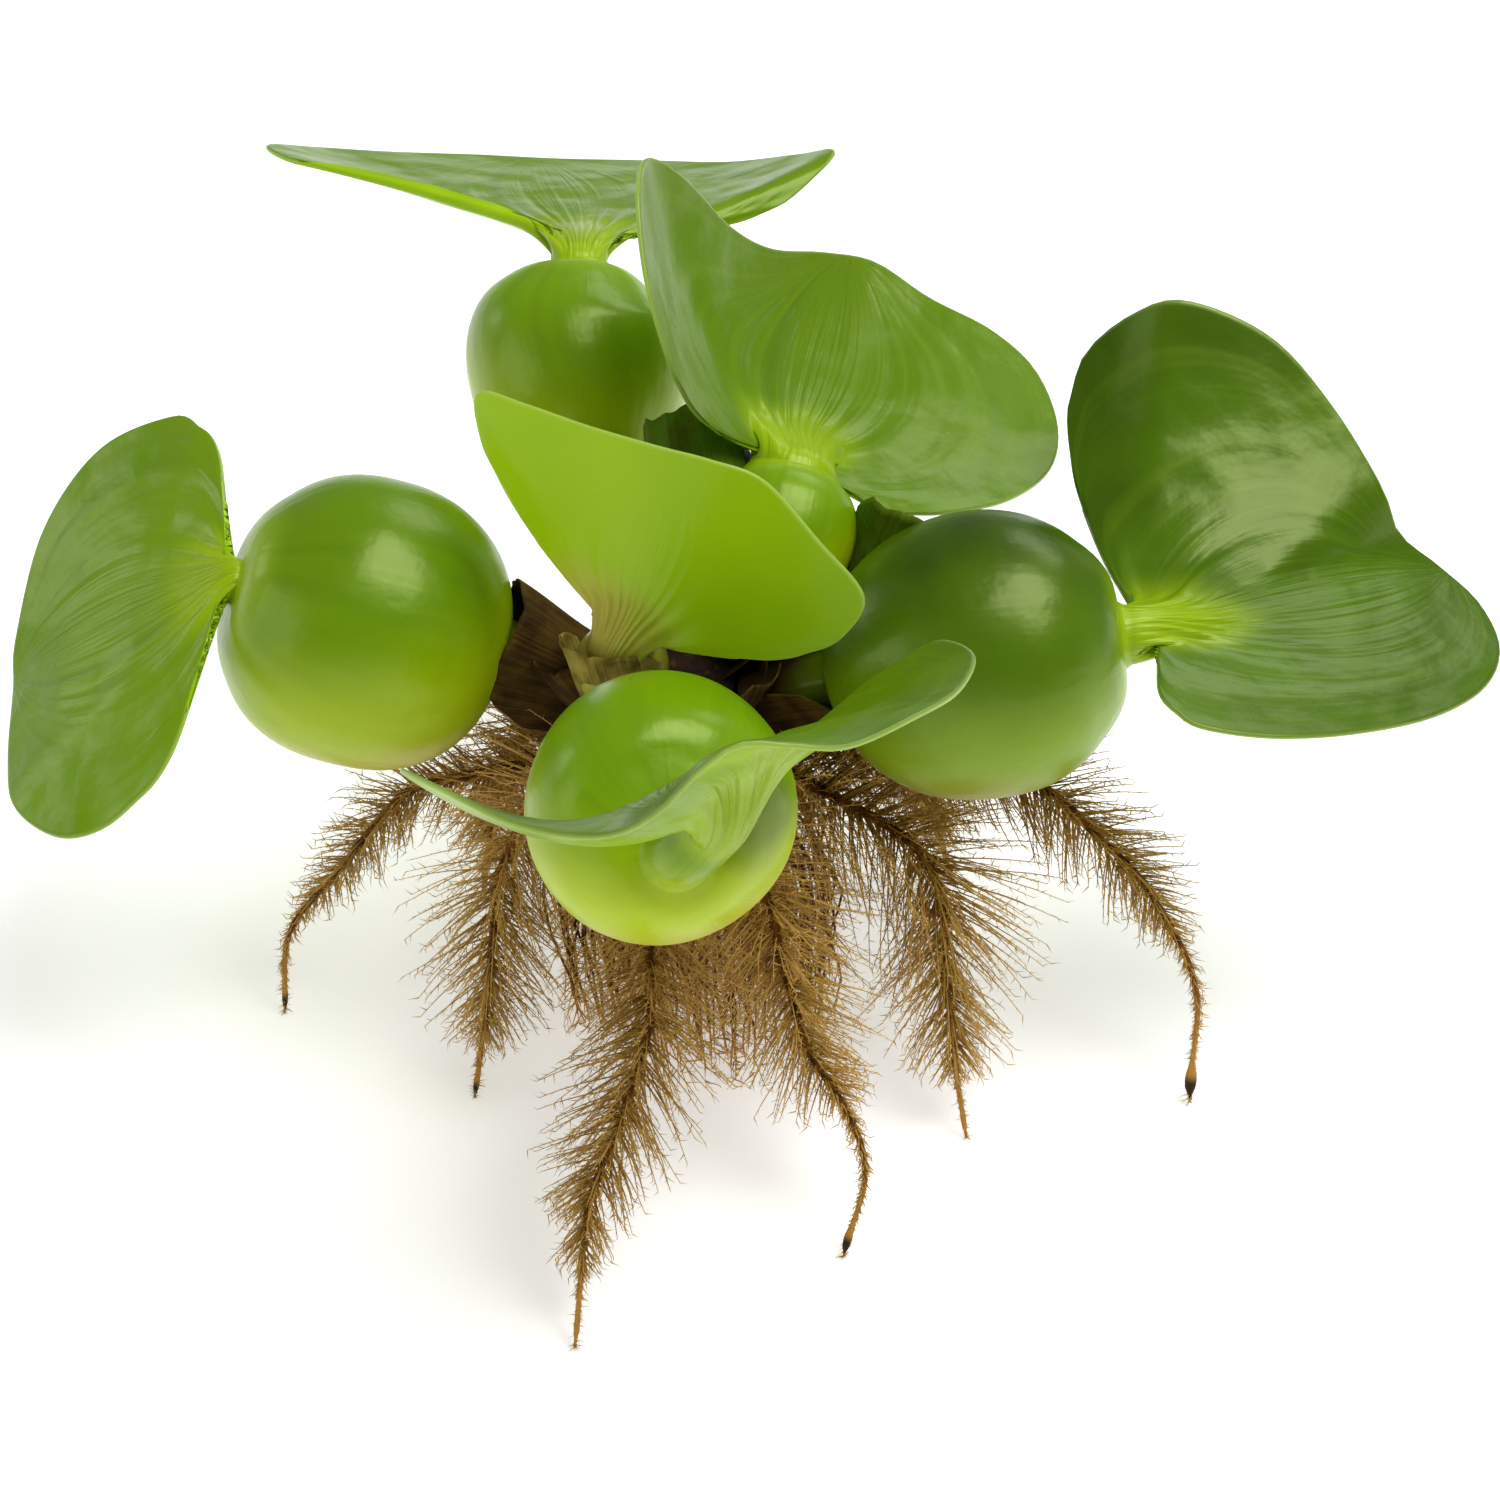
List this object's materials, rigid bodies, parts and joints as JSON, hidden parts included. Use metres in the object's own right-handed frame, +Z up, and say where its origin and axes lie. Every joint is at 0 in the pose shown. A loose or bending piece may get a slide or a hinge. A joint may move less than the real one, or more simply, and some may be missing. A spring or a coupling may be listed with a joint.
{
  "type": "water hyacinth",
  "caption": "Floating pond plant out of the water: a rosette of kidney-shaped leaves on round, air-filled stalks, above a skirt of feathery roots that it stands on.",
  "frame": {"origin": "middle of the root mat's flat foot, on the surface that the plant stands on", "axes": "+Z up through the crown, +X towards the right-hand leaf, -Y towards the front leaf and the picture's viewer"},
  "size_m": [0.1984, 0.1919, 0.1156],
  "materials": {
    "blade": "satin",
    "stalk": "gloss",
    "crown": "matte",
    "fine_roots": "matte",
    "root": "matte"
  },
  "bodies": {
    "root": {"crown": "crown", "fine_root_mat": "fine_roots", "float_left": "stalk", "blade_left": "blade", "float_right": "stalk", "blade_right": "blade", "float_back": "stalk", "blade_back": "blade", "float_front": "stalk", "blade_front": "blade", "stalk_middle_front": "stalk", "blade_middle_front": "blade", "stalk_middle_back": "stalk", "blade_middle_back": "blade", "root_far_left": "root", "root_front_left": "root", "root_front": "root", "root_front_right": "root", "root_right": "root", "root_far_right": "root", "root_back_left": "root", "root_back": "root", "root_back_right": "root", "root_right_back": "root"}
  },
  "joints": []
}
